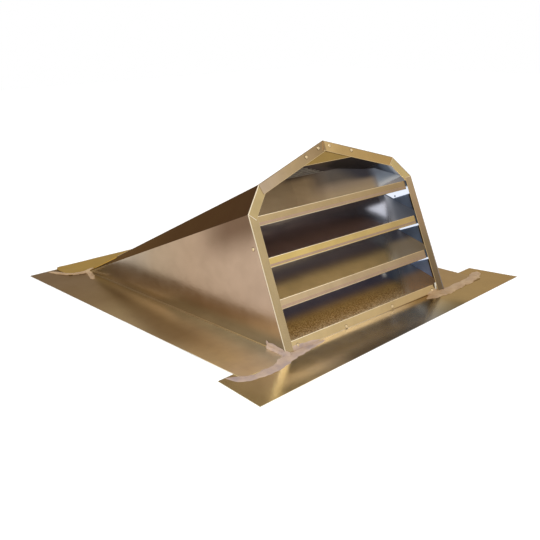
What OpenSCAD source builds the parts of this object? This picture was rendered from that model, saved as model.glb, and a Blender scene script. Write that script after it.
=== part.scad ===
// Dormer vent for a pitched roof: a folded sheet-metal hood with side flanges, a louvred and
// screened face that leans back, a front apron, a back pan and sealant over the laps.
// Front is -Y, up is +Z. The origin is on the underside of the apron, below the middle of the face.

/* [Face] */
// Width of the face at its foot, over the posts
face_w = 457; // [400:1:520]
// How far each shoulder is in from the foot of the face
shoulder_in = 4.5; // [0:0.5:12]
// Height of the shoulders, up the slope of the face
shoulder_h = 245; // [240:1:270]
// How far each eave corner is in from its shoulder
eave_in = 41; // [20:1:60]
// Rise from the shoulders to the eave corners, up the slope of the face
eave_rise = 46; // [30:1:60]
// Rise from the eave corners to the apex, up the slope of the face
roof_rise = 57; // [45:1:85]
// Lean of the face back from upright, in degrees
lean = 22; // [10:0.5:30]

/* [Hood] */
// Length of the hood along the roof, from the foot of the face to its rear edge
hood_l = 655; // [560:1:800]
// Thickness of all the sheet metal
sheet_t = 0.7; // [0.5:0.1:1.5]

/* [Side flanges] */
// Width of each side flange, out from the side wall
flange_w = 109; // [80:1:140]
// How far the side flanges run on in front of the face
flange_front = 16; // [10:1:24]
// How far the side flanges run on behind the hood
flange_rear = 65; // [40:1:90]

/* [Front apron] */
// How far the apron's front edge reaches past each side flange
apron_over = 55; // [30:1:80]
// How much each end of the apron tapers in towards its back edge
apron_taper = 14; // [0:1:30]
// Depth of the apron from front to back
apron_d = 108; // [90:1:130]
// How far the apron reaches in front of the face, at its middle
apron_reach = 84; // [70:1:95]
// Turn of the apron, fitted a little out of square, in degrees
apron_skew = 2.8; // [0:0.1:4]
// Offset of the apron to the right
apron_shift = 10; // [0:1:20]

/* [Back pan] */
// How far the back pan reaches past each side wall
pan_over = 39.5; // [20:0.5:90]
// How far the back pan reaches behind the hood
pan_rear = 76; // [50:1:110]
// How far the back pan laps up the roof
pan_lap = 26; // [15:1:45]
// Clearance round the lap's ends and its notch
lap_gap = 3; // [1:0.5:6]

/* [Face frame] */
// Width of the frame strips
strip_w = 20; // [14:1:28]
// Depth of the strips' return flanges inside the hood
return_w = 19; // [12:1:24]
// Height of the bottom rail, which stands behind the lowest lip
rail_h = 13; // [8:1:15]
// Depth of the bottom rail's foot flange
rail_foot = 20; // [12:1:30]
// Depth of the gusset, down the slope of the face from the apex
gusset_d = 41; // [25:1:44]

/* [Louvre blades] */
// How far the top blade is below the shoulders
blade_drop = 6.8; // [4:0.1:20]
// Height of the lowest blade's upper edge, up the slope of the face
blade_low = 17.4; // [16:0.2:24]
// Height of each blade's front lip
lip_h = 17; // [16:1:24]
// Width of each blade behind its lip
blade_w = 101; // [80:1:105]
// Rise of the blades towards the back, from square to the face, in degrees
blade_rise = 38; // [32:1:42]
// Setback of the lips behind the frame strips
lip_setback = 3; // [1:0.5:8]
// Gap between each end of a lip and its post
lip_gap = 3; // [1:0.5:8]
// Depth of the hem turned in under each lip
hem_d = 5; // [3:0.5:10]
// Height of the ears turned down at the blade ends
ear_h = 15; // [10:1:20]
// Distance of the ears from the front and rear edges of the blade
ear_inset = 3; // [2:0.5:5]
// How far the top blade's ears, which stay under the fold of the wall, reach below its lip
ear_drop = 10; // [6:1:16]
// Clearance between the top blade's ears and the plate of the next blade
ear_gap = 2; // [1:0.5:5]

/* [Insect screen] */
// Distance of the screen behind the face
screen_back = 104; // [96:1:130]
// Thickness of the panel that stands for the wire mesh
screen_t = 1; // [0.8:0.1:2]

/* [Sealant] */
// Height of the sealant above the sheet it lies on
bead_h = 2; // [1:0.5:4]
// Width of the sealant strokes
bead_w = 26; // [16:1:36]
// How far the front sealant runs along the foot of the face, past each post
bead_run = 82; // [40:1:120]

/* [Hidden] */

blades = 4;
blade_pitch = (shoulder_h - blade_drop - blade_low) / (blades - 1);
half_w = face_w / 2;
shoulder_x = half_w - shoulder_in;
eave_x = shoulder_x - eave_in;
eave_h = shoulder_h + eave_rise;
apex_h = eave_h + roof_rise;
// The side flanges lie on the apron, so the hood stands one sheet above the underside
base_z = sheet_t;
deck_z = base_z + sheet_t;
// Corners of the left half of the face, from the foot to the apex, as [x, height up the face]
left_edge = [[-half_w, 0], [-shoulder_x, shoulder_h], [-eave_x, eave_h], [0, apex_h]];
// Slope of the roof's rear facets, which rise straight from the rear edge to the eave corners
rear_slope = atan(eave_h * cos(lean) / (hood_l - eave_h * sin(lean)));
// Shift of the hood's rear edge that keeps a layer of the roof as thick as its sheet
rear_shift = 1 / sin(rear_slope);
// How much the side walls lean in for each unit they rise
wall_draft = shoulder_in / (shoulder_h * cos(lean));
apron_w = face_w + 2 * (flange_w + apron_over);
pan_w = face_w + 2 * pan_over;
pan_knee_y = hood_l - sheet_t / tan(rear_slope);
pan_knee = sheet_t * tan(rear_slope / 2);
apron_mid_y = apron_d / 2 - apron_reach;

steel = [0.66, 0.55, 0.40];
trim = [0.76, 0.66, 0.46];
blade_tone = [0.50, 0.43, 0.33];
mesh_tone = [0.42, 0.36, 0.26];
sealant_tone = [0.74, 0.67, 0.60];

// ---- Points ----

function unit(v) = v / norm(v);

// Inward normal of the face's outline, going up its left side from a to b
function inward(a, b) = let (u = unit(b - a)) [u[1], -u[0]];

// Corner i of the face's left outline, moved in by d from the edges beside it
function corner(i, d) =
    i == 0 ? left_edge[0] + [d / inward(left_edge[0], left_edge[1])[0], 0] :
    i == 3 ? left_edge[3] + [0, d / inward(left_edge[2], left_edge[3])[1]] :
    let (n1 = inward(left_edge[i - 1], left_edge[i]), n2 = inward(left_edge[i], left_edge[i + 1]))
        left_edge[i] + d * (n1 + n2) / (1 + n1 * n2);

// Point at x, height s up the face
function on_face(p) = [p[0], p[1] * sin(lean), base_z + p[1] * cos(lean)];

// All the left folds of the hood run to its rear corner, and the ridge to the middle of the rear edge
function rear_corner(d) = [-half_w + d, hood_l - d * rear_shift, base_z];
function rear_middle(d) = [0, hood_l - d * rear_shift, base_z];

// Point of the layer d inside the hood, on the fold from face corner i, at depth b behind the face
function on_fold(i, d, b, to_ridge = false) =
    let (p = on_face(corner(i, d)), q = to_ridge ? rear_middle(d) : rear_corner(d))
        p + (q - p) * b / ((hood_l - d * rear_shift) * cos(lean));

// Half width of the opening between the posts at height s up the face
function opening_x(s) = -corner(0, strip_w)[0] - s * wall_draft * cos(lean);

// ---- Makers ----

// A flat sheet between outer and inner, two loops of matching corners
module folded_sheet(outer, inner) {
    n = len(outer);
    polyhedron(
        points = concat(outer, inner),
        faces = concat(
            [for (i = [1:n - 2]) [0, i + 1, i]],
            [for (i = [1:n - 2]) [n, n + i, n + i + 1]],
            [for (i = [0:n - 2]) [i, i + 1, n + i + 1]],
            [for (i = [0:n - 2]) [i, n + i + 1, n + i]],
            [[0, 2 * n - 1, n - 1], [0, n, 2 * n - 1]]));
}

// The space inside the hood, d in from its outside
module hood_space(d) {
    left = [for (i = [0:3]) on_face(corner(i, d))];
    right = [for (i = [2:-1:0]) [-left[i][0], left[i][1], left[i][2]]];
    rear = rear_corner(d);
    polyhedron(
        points = concat(left, right, [rear, rear_middle(d), [-rear[0], rear[1], rear[2]]]),
        faces = [[0, 1, 2, 3, 4, 5, 6], [6, 9, 8, 7, 0],
                 [0, 7, 1], [1, 7, 2], [2, 7, 8], [2, 8, 3],
                 [6, 5, 9], [5, 4, 9], [4, 8, 9], [4, 3, 8]]);
}

// A plate parallel to the face, from an outline of [x, height up the face], with its rear at depth b
module face_plate(b, t) {
    translate([0, 0, base_z]) rotate([90 - lean, 0, 0])
        translate([0, 0, -b]) linear_extrude(t) children();
}

// A profile of [depth, height up the face], run across the face
module across_face(w) {
    translate([0, 0, base_z]) rotate([-lean, 0, 0]) rotate([90, 0, 90])
        linear_extrude(w, center = true) children();
}

module right_hand() {
    mirror([1, 0, 0]) children();
}

// ---- Hood ----

module side_panel() {
    color(steel) folded_sheet(
        [on_face(corner(0, 0)), on_face(corner(1, 0)), rear_corner(0)],
        [on_face(corner(0, sheet_t)), on_face(corner(1, sheet_t)), rear_corner(sheet_t)]);
}

// Turned out at the foot of the side wall, from the same sheet
module side_flange() {
    color(steel) translate([-half_w - flange_w, -flange_front, base_z])
        cube([flange_w + sheet_t / 2, flange_front + hood_l + flange_rear, sheet_t]);
}

module eave_panel() {
    color(steel) folded_sheet(
        [on_face(corner(1, 0)), on_face(corner(2, 0)), rear_corner(0)],
        [on_face(corner(1, sheet_t)), on_face(corner(2, sheet_t)), rear_corner(sheet_t)]);
}

module roof_panel() {
    color(steel) folded_sheet(
        [on_face(corner(2, 0)), on_face(corner(3, 0)), rear_middle(0)],
        [on_face(corner(2, sheet_t)), on_face(corner(3, sheet_t)), rear_middle(sheet_t)]);
}

module rear_panel() {
    color(steel) folded_sheet(
        [on_face(corner(2, 0)), rear_middle(0), rear_corner(0)],
        [on_face(corner(2, sheet_t)), rear_middle(sheet_t), rear_corner(sheet_t)]);
}

module left_side_panel() side_panel();
module right_side_panel() right_hand() side_panel();
module left_side_flange() side_flange();
module right_side_flange() right_hand() side_flange();
module left_eave_panel() eave_panel();
module right_eave_panel() right_hand() eave_panel();
module left_roof_panel() roof_panel();
module right_roof_panel() right_hand() roof_panel();
module left_rear_panel() rear_panel();
module right_rear_panel() right_hand() rear_panel();

// ---- Flashing ----

module front_apron() {
    color(steel) translate([apron_shift, apron_mid_y, 0]) rotate(apron_skew) linear_extrude(sheet_t)
        polygon([[-apron_w / 2, -apron_d / 2], [apron_w / 2, -apron_d / 2],
                 [apron_w / 2 - apron_taper, apron_d / 2], [-apron_w / 2 + apron_taper, apron_d / 2]]);
}

// The pan lies on the side flanges behind the hood
module back_pan() {
    flat_y = hood_l + pan_rear;
    color(steel) rotate([90, 0, 90]) linear_extrude(pan_w, center = true)
        polygon([[pan_knee_y, deck_z], [flat_y, deck_z],
                 [flat_y, deck_z + sheet_t], [pan_knee_y + pan_knee, deck_z + sheet_t]]);
}

// The pan's front bends up over the foot of the roof, notched for the ridge
module pan_half_lap() {
    lap_y = pan_knee_y - pan_lap * cos(rear_slope);
    lap_z = deck_z + pan_lap * sin(rear_slope);
    off_y = sheet_t * sin(rear_slope);
    off_z = sheet_t * cos(rear_slope);
    valley = on_face(corner(2, 0));
    end_x = half_w - (half_w - eave_x) * pan_lap / (hood_l - valley[1]) - lap_gap;
    color(steel) difference() {
        translate([-end_x, 0, 0]) rotate([90, 0, 90]) linear_extrude(end_x)
            polygon([[pan_knee_y, deck_z], [lap_y, lap_z], [lap_y + off_y, lap_z + off_z],
                     [pan_knee_y + pan_knee, deck_z + sheet_t]]);
        linear_extrude(apex_h)
            polygon([[0, hood_l], [valley[0] - lap_gap, valley[1]], [-valley[0] + lap_gap, valley[1]]]);
    }
}

module left_pan_lap() pan_half_lap();
module right_pan_lap() right_hand() pan_half_lap();

// ---- Face frame: strips with return flanges inside the hood ----

module frame_strip(i, foot = 0) {
    j = i + 1;
    to_ridge = i == 2;
    depth = [-sheet_t / 2, return_w];
    lift = [foot * wall_draft, 0, foot];
    color(trim) union() {
        face_plate(0, sheet_t) intersection() {
            polygon([corner(i, 0), corner(j, 0), corner(j, strip_w), corner(i, strip_w)]);
            translate([-face_w, foot / cos(lean)]) square([2 * face_w, 2 * apex_h]);
        }
        folded_sheet(
            [on_fold(i, sheet_t, depth[0], to_ridge) + lift,
             on_fold(j, sheet_t, depth[0], to_ridge),
             on_fold(j, sheet_t, depth[1], to_ridge),
             on_fold(i, sheet_t, depth[1], to_ridge) + lift],
            [on_fold(i, 2 * sheet_t, depth[0], to_ridge) + lift,
             on_fold(j, 2 * sheet_t, depth[0], to_ridge),
             on_fold(j, 2 * sheet_t, depth[1], to_ridge),
             on_fold(i, 2 * sheet_t, depth[1], to_ridge) + lift]);
    }
}

module left_post() frame_strip(0, sheet_t);
module right_post() right_hand() frame_strip(0, sheet_t);
module left_eave_rail() frame_strip(1);
module right_eave_rail() right_hand() frame_strip(1);
module left_roof_rail() frame_strip(2);
module right_roof_rail() right_hand() frame_strip(2);

// An angle behind the lowest lip, as two flanges: one up the lip and one back along the apron
module rail_flange(profile) {
    color(trim) rotate([90, 0, 90]) linear_extrude(face_w - 6 * sheet_t, center = true) polygon(profile);
}

// Point of the angle as [y, z], at height s up the face and depth b, or where depth b meets height z
function rail_point(s, b) = [s * sin(lean) + b * cos(lean), base_z + s * cos(lean) - b * sin(lean)];
function rail_at(b, z) = rail_point((z - base_z + b * sin(lean)) / cos(lean), b);

module bottom_rail() {
    front = lip_setback + sheet_t;
    rear = front + sheet_t;
    rail_flange([rail_at(front, base_z), rail_point(rail_h, front),
                 rail_point(rail_h, rear), rail_at(rear, base_z)]);
}

module rail_foot_flange() {
    rear = lip_setback + 2 * sheet_t;
    end_y = rail_at(rear, base_z)[0] + rail_foot;
    rail_flange([rail_at(rear, base_z), rail_at(rear, deck_z), [end_y, deck_z], [end_y, base_z]]);
}

// The gusset backs the roof rails at the apex
module apex_gusset() {
    edge = 3 * sheet_t;
    tip = corner(3, edge);
    run = corner(2, edge) - tip;
    side = tip + run * (tip[1] - apex_h + gusset_d) / -run[1];
    color(trim) face_plate(sheet_t, sheet_t) polygon([tip, [-side[0], side[1]], side]);
}

// ---- Louvre blades and screen ----

// Height of the upper edge of blade k, counted from the top, up the slope of the face
function blade_top(k) = shoulder_h - blade_drop - (k - 1) * blade_pitch;

// Depth and height of the point that is t behind a blade's nose and d under the top of its plate
function on_plate(k, t, d) =
    [lip_setback, blade_top(k)] + t * [cos(blade_rise), sin(blade_rise)]
        + d * [sin(blade_rise), -cos(blade_rise)];

// Ears lie against the walls, from the plate down, under the fold at the top of the wall
module ears(profile) {
    difference() {
        intersection() {
            hood_space(2 * sheet_t);
            across_face(face_w) polygon(profile);
        }
        hood_space(3 * sheet_t);
        translate([0, 0, base_z]) rotate([-lean, 0, 0])
            translate([-half_w, 0, shoulder_h - 3 * sheet_t]) cube([face_w, hood_l, apex_h]);
    }
}

module blade(k, hemmed = true) {
    top = blade_top(k);
    back = lip_setback + sheet_t;
    foot = max(top - lip_h, back * tan(lean));
    along = [cos(blade_rise), sin(blade_rise)];
    down = sheet_t * [sin(blade_rise), -cos(blade_rise)];
    nose = [lip_setback, top];
    knee = [back, top - sheet_t * (1 - sin(blade_rise)) / cos(blade_rise)];
    root = [lip_setback + sheet_t / 2, top - sheet_t];
    ear_front = on_plate(k, ear_inset, sheet_t / 2);
    ear_rear = on_plate(k, blade_w - ear_inset, sheet_t / 2);
    lip_x = opening_x(top) - lip_gap;
    hem = [[back, foot + sheet_t], [lip_setback + hem_d, foot + sheet_t], [lip_setback + hem_d, foot]];
    color(blade_tone) union() {
        across_face(2 * lip_x)
            polygon(concat([[lip_setback, foot], nose, knee], hemmed ? hem : [[back, foot]]));
        intersection() {
            hood_space(2 * sheet_t);
            across_face(face_w)
                polygon([nose, nose + blade_w * along, nose + blade_w * along + down, knee, root]);
        }
        if (k > 1) ears([ear_front, ear_rear, ear_rear - [0, ear_h], ear_front - [0, ear_h]]);
    }
}

// The lowest lip has no hem, and is riveted to the bottom rail
module louvre_blade_1() blade(1);
module louvre_blade_2() blade(2);
module louvre_blade_3() blade(3);
module louvre_blade_4() blade(4, hemmed = false);

// The top blade's ears are tabs that reach below its lip, and clear the plate of the next blade
module top_ear() {
    low = blade_top(1) - lip_h - ear_drop;
    end = blade_w - ear_inset;
    meet = (low - blade_top(2) - ear_gap * cos(blade_rise)) / sin(blade_rise);
    front = on_plate(1, ear_inset, sheet_t);
    color(blade_tone) intersection() {
        ears([front, on_plate(1, end, sheet_t), on_plate(2, end, -ear_gap),
              on_plate(2, meet, -ear_gap), [front[0], low]]);
        translate([-face_w, 0, 0]) cube([face_w, hood_l, apex_h]);
    }
}

module left_top_ear() top_ear();
module right_top_ear() right_hand() top_ear();

module insect_screen() {
    color(mesh_tone) intersection() {
        hood_space(sheet_t);
        face_plate(screen_back, screen_t) translate([-half_w, -apex_h]) square([face_w, 2 * apex_h]);
    }
}

// ---- Sealant over the laps ----

// Along the flange's front edge, half on the apron and half on the flange
module front_sealant() {
    out_x = -half_w - flange_w;
    seam_y = -flange_front;
    color(sealant_tone) union() {
        translate([out_x, seam_y - bead_w / 2, base_z])
            cube([flange_w + bead_run, bead_w / 2, sheet_t + bead_h]);
        translate([out_x, seam_y - sheet_t / 4, deck_z])
            cube([flange_w, bead_w / 2, bead_h]);
    }
}

// Along the end of the back pan, from its rear edge to the corner of the side wall
module rear_sealant() {
    color(sealant_tone) translate([-pan_w / 2 - bead_w / 2, pan_knee_y + bead_w / 2, deck_z])
        cube([bead_w / 2, pan_rear - bead_w, sheet_t + bead_h]);
}

module front_left_sealant() front_sealant();
module front_right_sealant() right_hand() front_sealant();
module rear_left_sealant() rear_sealant();
module rear_right_sealant() right_hand() rear_sealant();

left_side_panel();
right_side_panel();
left_side_flange();
right_side_flange();
left_eave_panel();
right_eave_panel();
left_roof_panel();
right_roof_panel();
left_rear_panel();
right_rear_panel();
front_apron();
back_pan();
left_pan_lap();
right_pan_lap();
bottom_rail();
rail_foot_flange();
left_post();
right_post();
left_eave_rail();
right_eave_rail();
left_roof_rail();
right_roof_rail();
apex_gusset();
louvre_blade_1();
louvre_blade_2();
louvre_blade_3();
louvre_blade_4();
left_top_ear();
right_top_ear();
insect_screen();
front_left_sealant();
front_right_sealant();
rear_left_sealant();
rear_right_sealant();
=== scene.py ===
import math

import bmesh
import bpy
from mathutils import Matrix, Vector, noise


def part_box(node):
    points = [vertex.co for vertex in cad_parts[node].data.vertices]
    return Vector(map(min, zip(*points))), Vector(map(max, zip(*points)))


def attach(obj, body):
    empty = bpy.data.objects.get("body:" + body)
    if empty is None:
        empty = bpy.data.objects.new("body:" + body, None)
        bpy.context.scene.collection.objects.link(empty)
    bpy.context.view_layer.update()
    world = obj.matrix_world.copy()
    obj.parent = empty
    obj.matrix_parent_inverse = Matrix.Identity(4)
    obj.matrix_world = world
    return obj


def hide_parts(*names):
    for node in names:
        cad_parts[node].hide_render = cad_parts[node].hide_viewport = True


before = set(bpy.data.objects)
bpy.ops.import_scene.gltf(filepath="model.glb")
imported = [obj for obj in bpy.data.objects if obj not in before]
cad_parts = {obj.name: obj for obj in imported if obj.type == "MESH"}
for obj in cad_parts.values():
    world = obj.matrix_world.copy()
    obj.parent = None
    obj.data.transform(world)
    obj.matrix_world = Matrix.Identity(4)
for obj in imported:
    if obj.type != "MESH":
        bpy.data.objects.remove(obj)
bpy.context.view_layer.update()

MM = 0.001


# ---- Camera ----

CAMERA_AT = (-1.0287, -0.8426, 0.5324)
CAMERA_TURN = -42.39
CAMERA_DOWN = 18.12
CAMERA_ROLL = -1.31
SENSOR_MM = 36
LENS_MM = 50.2


def add_object(name, data):
    obj = bpy.data.objects.new(name, data)
    bpy.context.scene.collection.objects.link(obj)
    return obj


def make_camera():
    """Camera to the left of the face, looking down at the hood."""
    lens = bpy.data.cameras.new("view_camera")
    lens.sensor_width = SENSOR_MM
    lens.lens = LENS_MM
    camera = add_object("view_camera", lens)
    turns = ((CAMERA_TURN, "Z"), (90 - CAMERA_DOWN, "X"), (CAMERA_ROLL, "Z"))
    turn, tilt, roll = (Matrix.Rotation(math.radians(angle), 4, axis) for angle, axis in turns)
    camera.matrix_world = Matrix.Translation(CAMERA_AT) @ turn @ tilt @ roll
    bpy.context.scene.camera = camera


make_camera()

# ---- Sizes of the hood, from the frame ----

WALL_LO, WALL_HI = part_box("left_side_panel")
ROOF_LO, ROOF_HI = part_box("left_roof_panel")
FLANGE_LO, FLANGE_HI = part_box("left_side_flange")

SHEET = FLANGE_HI.z - FLANGE_LO.z
BASE_Z = WALL_LO.z
DECK_Z = BASE_Z + SHEET
HALF_W = -WALL_LO.x
HOOD_L = WALL_HI.y
SHOULDER_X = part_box("left_eave_rail")[0].x
EAVE_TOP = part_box("left_eave_panel")[1].z
LEAN = math.atan2(ROOF_LO.y, EAVE_TOP - BASE_Z)
SIN, COS = math.sin(LEAN), math.cos(LEAN)

# Corners of the face's left outline from the foot to the apex, as (x, height up the face)
OUTLINE = [Vector((-HALF_W, 0)),
           Vector((SHOULDER_X, (WALL_HI.z - BASE_Z) / COS)),
           Vector((ROOF_LO.x, (EAVE_TOP - BASE_Z) / COS)),
           Vector((0, (ROOF_HI.z - BASE_Z) / COS))]
APEX = len(OUTLINE) - 1
REAR_CORNER = Vector((-HALF_W, HOOD_L, BASE_Z))
REAR_MIDDLE = Vector((0, HOOD_L, BASE_Z))
WALL_SLOPE = (WALL_HI.z - BASE_Z) / (HOOD_L - OUTLINE[1].y * SIN)


def on_face(x, s, b=0.0):
    """Point at x, height s up the face, depth b behind it."""
    return Vector((x, s * SIN + b * COS, BASE_Z + s * COS - b * SIN))


def inward(a, b):
    """Inward normal of the outline, going up its left side from a to b."""
    u = (b - a).normalized()
    return Vector((u.y, -u.x))


def normals_at(i):
    """Inward normals of the two edges that meet at corner i of the outline."""
    return inward(OUTLINE[i - 1], OUTLINE[i]), inward(OUTLINE[i], OUTLINE[i + 1])


def corner(i, d):
    """Corner i of the face's left outline, moved in by d from the edges beside it."""
    if i == 0:
        return OUTLINE[0] + Vector((d / inward(OUTLINE[0], OUTLINE[1]).x, 0))
    if i == APEX:
        return OUTLINE[i] + Vector((0, d / inward(OUTLINE[i - 1], OUTLINE[i]).y))
    n1, n2 = normals_at(i)
    return OUTLINE[i] + d * (n1 + n2) / (1 + n1.dot(n2))


def on_fold(i, d, b, roof=False):
    """Point on the fold from corner i, or the roof's crease, d in from the outside and b behind the face."""
    c = corner(i, d)
    start = on_face(c.x, c.y)
    end = REAR_MIDDLE if roof or i == APEX else REAR_CORNER + Vector((d, 0, 0))
    return start + (end - start) * (b / (HOOD_L * COS))


def plane(a, b, c):
    """Plane through three points, as (normal towards the inside of the hood, offset)."""
    inside = Vector((0, HOOD_L / 3, 2 * BASE_Z))
    n = (b - a).cross(c - a).normalized()
    if n.dot(inside - a) < 0:
        n = -n
    return n, n.dot(a)


CORNERS = [on_face(p.x, p.y) for p in OUTLINE]
WALL_PLANE = plane(CORNERS[0], CORNERS[1], REAR_CORNER)
EAVE_PLANE = plane(CORNERS[1], CORNERS[2], REAR_CORNER)
ROOF_PLANE = plane(CORNERS[2], CORNERS[APEX], REAR_MIDDLE)
REAR_SLOPE = (CORNERS[2].z - BASE_Z) / (HOOD_L - CORNERS[2].y)


def inside_half_width(s, b, gap):
    """Half width inside the hood, gap in from its outside, at height s up the face and depth b."""
    _, y, z = on_face(0, s, b)
    planes = [WALL_PLANE, EAVE_PLANE]
    if z > BASE_Z + REAR_SLOPE * (HOOD_L - y) - gap:
        planes.append(ROOF_PLANE)
    return min((n.y * y + n.z * z - offset - gap) / n.x for n, offset in planes)


def lerp(a, b, t):
    return a + (b - a) * t


def spread(a, b, n):
    """n points from a to b."""
    return [lerp(a, b, k / (n - 1)) for k in range(n)]


# ---- Shader nodes as expressions ----

class Val:
    """A shader socket that Python's operators add Math nodes to."""

    def __init__(self, tree, socket):
        self.tree = tree
        self.socket = socket

    def math(self, operation, *others):
        values = dict(enumerate([self, *others]))
        return self.tree.node("ShaderNodeMath", {"operation": operation}, values)[0]

    def __add__(self, other):
        return self.math("ADD", other)

    def __sub__(self, other):
        return self.math("SUBTRACT", other)

    def __mul__(self, other):
        return self.math("MULTIPLY", other)

    def __truediv__(self, other):
        return self.math("DIVIDE", other)

    def size(self):
        return self.math("ABSOLUTE")

    def larger(self, other):
        return self.math("MAXIMUM", other)


class Tree:
    """A node tree whose nodes are added by one method."""

    def __init__(self, tree):
        self.tree = tree

    def node(self, kind, settings=None, inputs=None):
        """Adds a node, with its settings first, and returns its outputs."""
        made = self.tree.nodes.new(kind)
        for key, value in (settings or {}).items():
            setattr(made, key, value)
        for key, value in (inputs or {}).items():
            self.feed(made.inputs[key], value)
        return [Val(self, out) for out in made.outputs if out.enabled]

    def feed(self, socket, value):
        """Links or sets a socket; a colour has three parts."""
        if isinstance(value, Val):
            self.tree.links.new(value.socket, socket)
        else:
            socket.default_value = (*value, 1) if socket.type == "RGBA" else value

    def seen(self):
        """Above 0 where a thing is seen, mirrored or looked at through something."""
        paths = self.node("ShaderNodeLightPath")
        return paths[0].larger(paths[3]).larger(paths[6])


class Material(Tree):
    """A material; the colours of its tint, ramps and mixes are display levels of 0 to 255."""

    def __init__(self, name, tint):
        self.data = bpy.data.materials.new(name)
        self.data.use_nodes = True
        self.data.diffuse_color = (*srgb(*tint), 1)
        super().__init__(self.data.node_tree)
        self.shader = self.tree.nodes["Principled BSDF"]

    def set(self, colour, rough, metal=0.0, glow=None, strength=1.0, **values):
        """Values and links of the shader's own sockets; returns the finished material."""
        values.update(Base_Color=colour, Roughness=rough, Metallic=metal)
        if glow:
            values.update(Emission_Color=glow, Emission_Strength=strength)
        for key, value in values.items():
            self.feed(self.shader.inputs[key.replace("_", " ")], value)
        return self.data

    def place(self):
        """Object coordinates in metres, as (vector, x, y, z)."""
        vector = self.node("ShaderNodeTexCoord")[3]
        return (vector, *self.node("ShaderNodeSeparateXYZ", inputs={0: vector}))

    def noise(self, vector, scale, detail, rough=0.5):
        values = {"Vector": vector, "Scale": scale, "Detail": detail, "Roughness": rough}
        return self.node("ShaderNodeTexNoise", inputs=values)[0]

    def stretch(self, vector, factors):
        return self.node("ShaderNodeVectorMath", {"operation": "MULTIPLY"}, {0: vector, 1: factors})[0]

    def ramp(self, value, stops):
        """Colour through stops of (place, red, green, blue)."""
        colour = self.node("ShaderNodeValToRGB", inputs={0: value})[0]
        elements = colour.socket.node.color_ramp.elements
        while len(elements) < len(stops):
            elements.new(1.0)
        for element, (place, *levels) in zip(elements, stops):
            element.position = place
            element.color = (*srgb(*levels), 1)
        return colour

    def mix(self, factor, *colours):
        first, second = (srgb(*c) if isinstance(c, tuple) else c for c in colours)
        return self.node("ShaderNodeMix", {"data_type": "RGBA"}, {0: factor, 6: first, 7: second})[0]

    def band(self, value, low, high, ends=(0.0, 1.0)):
        """Smooth change from 0 to 1 while value goes from low to high."""
        return self.node("ShaderNodeMapRange", {"interpolation_type": "SMOOTHSTEP"},
                         {0: value, 1: low, 2: high, 3: ends[0], 4: ends[1]})[0]

    def fade(self, value, low, high):
        """Smooth change from 1 to 0 while value goes from low to high."""
        return self.band(value, low, high, (1.0, 0.0))

    def bump(self, height, strength, distance):
        values = {"Strength": strength, "Distance": distance, "Height": height}
        return self.node("ShaderNodeBump", inputs=values)[0]


def srgb(*levels):
    """Linear colour from display levels of 0 to 255."""
    return tuple((v / 255 / 12.92) if v <= 10 else ((v / 255 + 0.055) / 1.055) ** 2.4 for v in levels)


# ---- Finishes ----

BLACK = (0, 0, 0)
WHITE = (255, 255, 255)
GRIME = (92, 74, 48)


def sheet_bump(mat, vector, strength=0.25):
    """Faint dents and rolling marks of thin sheet."""
    dents = mat.noise(vector, 9, 1.0)
    ripple = mat.noise(mat.stretch(vector, (60, 14, 60)), 5, 2.0)
    return mat.bump(dents * 3.0 + ripple * 0.2, strength, 1.2 * MM)


def smudges(mat, vector, colour, amount):
    """Cloudy marks and small scuffs that darken a metal's colour."""
    clouds = mat.band(mat.noise(vector, 26, 5.0, 0.62), 0.35, 0.7)
    scuffs = mat.band(mat.noise(mat.stretch(vector, (1, 3, 1)), 160, 3.0, 0.7), 0.6, 0.8)
    return mat.mix(clouds * amount + scuffs * amount * 0.6, colour, GRIME)


def face_place(mat):
    """Object coordinates as (vector, x, height up the face, depth behind it)."""
    vector, x, y, z = mat.place()
    return vector, x, y * SIN + (z - BASE_Z) * COS, y * COS - (z - BASE_Z) * SIN


def sheet_material(name, tint, paint, roughness=0.2, edge=(0.96, 0.94, 0.9)):
    """Glossy bronze-coloured sheet, with a tone that paint gives for a place."""
    mat = Material(name, tint)
    vector, x, y, z = mat.place()
    drift = mat.noise(vector, 7, 2.0) * 0.06 - 0.03
    colour = smudges(mat, vector, paint(mat, x, y, z, y / HOOD_L + drift), 0.12)
    rough = mat.noise(vector, 40, 4.0) * 0.1 + roughness - 0.05
    return mat.set(colour, rough, 1.0, Specular_Tint=edge, Normal=sheet_bump(mat, vector))


def along_hood(*stops):
    """Tone that changes only along the hood, through stops placed by the share of its length."""
    return lambda mat, x, y, z, along: mat.ramp(along, stops)


# Painted light and reflection along the flange: pale near the face, dark towards the rear
FLANGE_OUTER = [
    (0.03, 246, 232, 200), (0.1, 238, 222, 180), (0.2, 208, 190, 152),
    (0.3, 167, 146, 112), (0.45, 152, 130, 97), (0.58, 137, 115, 81),
    (0.7, 108, 84, 51), (1.0, 88, 62, 32)]
FLANGE_INNER = [
    (0.03, 255, 248, 228), (0.2, 254, 240, 206), (0.35, 240, 220, 182),
    (0.48, 216, 192, 152), (0.61, 190, 166, 127), (0.76, 158, 134, 96),
    (0.92, 136, 108, 70), (1.0, 110, 82, 46)]


def flange_paint(mat, x, y, z, along):
    """Painted reflection: paler towards the face and beside the wall, where the wall is mirrored; plain on
    the right.
    """
    beside = mat.fade(x.size(), HALF_W + 0.01, along * -0.07 + (HALF_W + 0.09))
    left = mat.mix(beside, mat.ramp(along, FLANGE_OUTER), mat.ramp(along, FLANGE_INNER))
    return mat.mix(mat.band(x, -0.1, 0.1), left, (147, 118, 74))


# Painted light and reflection along the wall, from the front to the rear
WALL_TONES = [
    (0.08, 180, 154, 131), (0.4, 170, 144, 118), (0.58, 166, 144, 118),
    (0.7, 164, 148, 128), (0.82, 182, 168, 150), (0.92, 178, 170, 142)]


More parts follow.
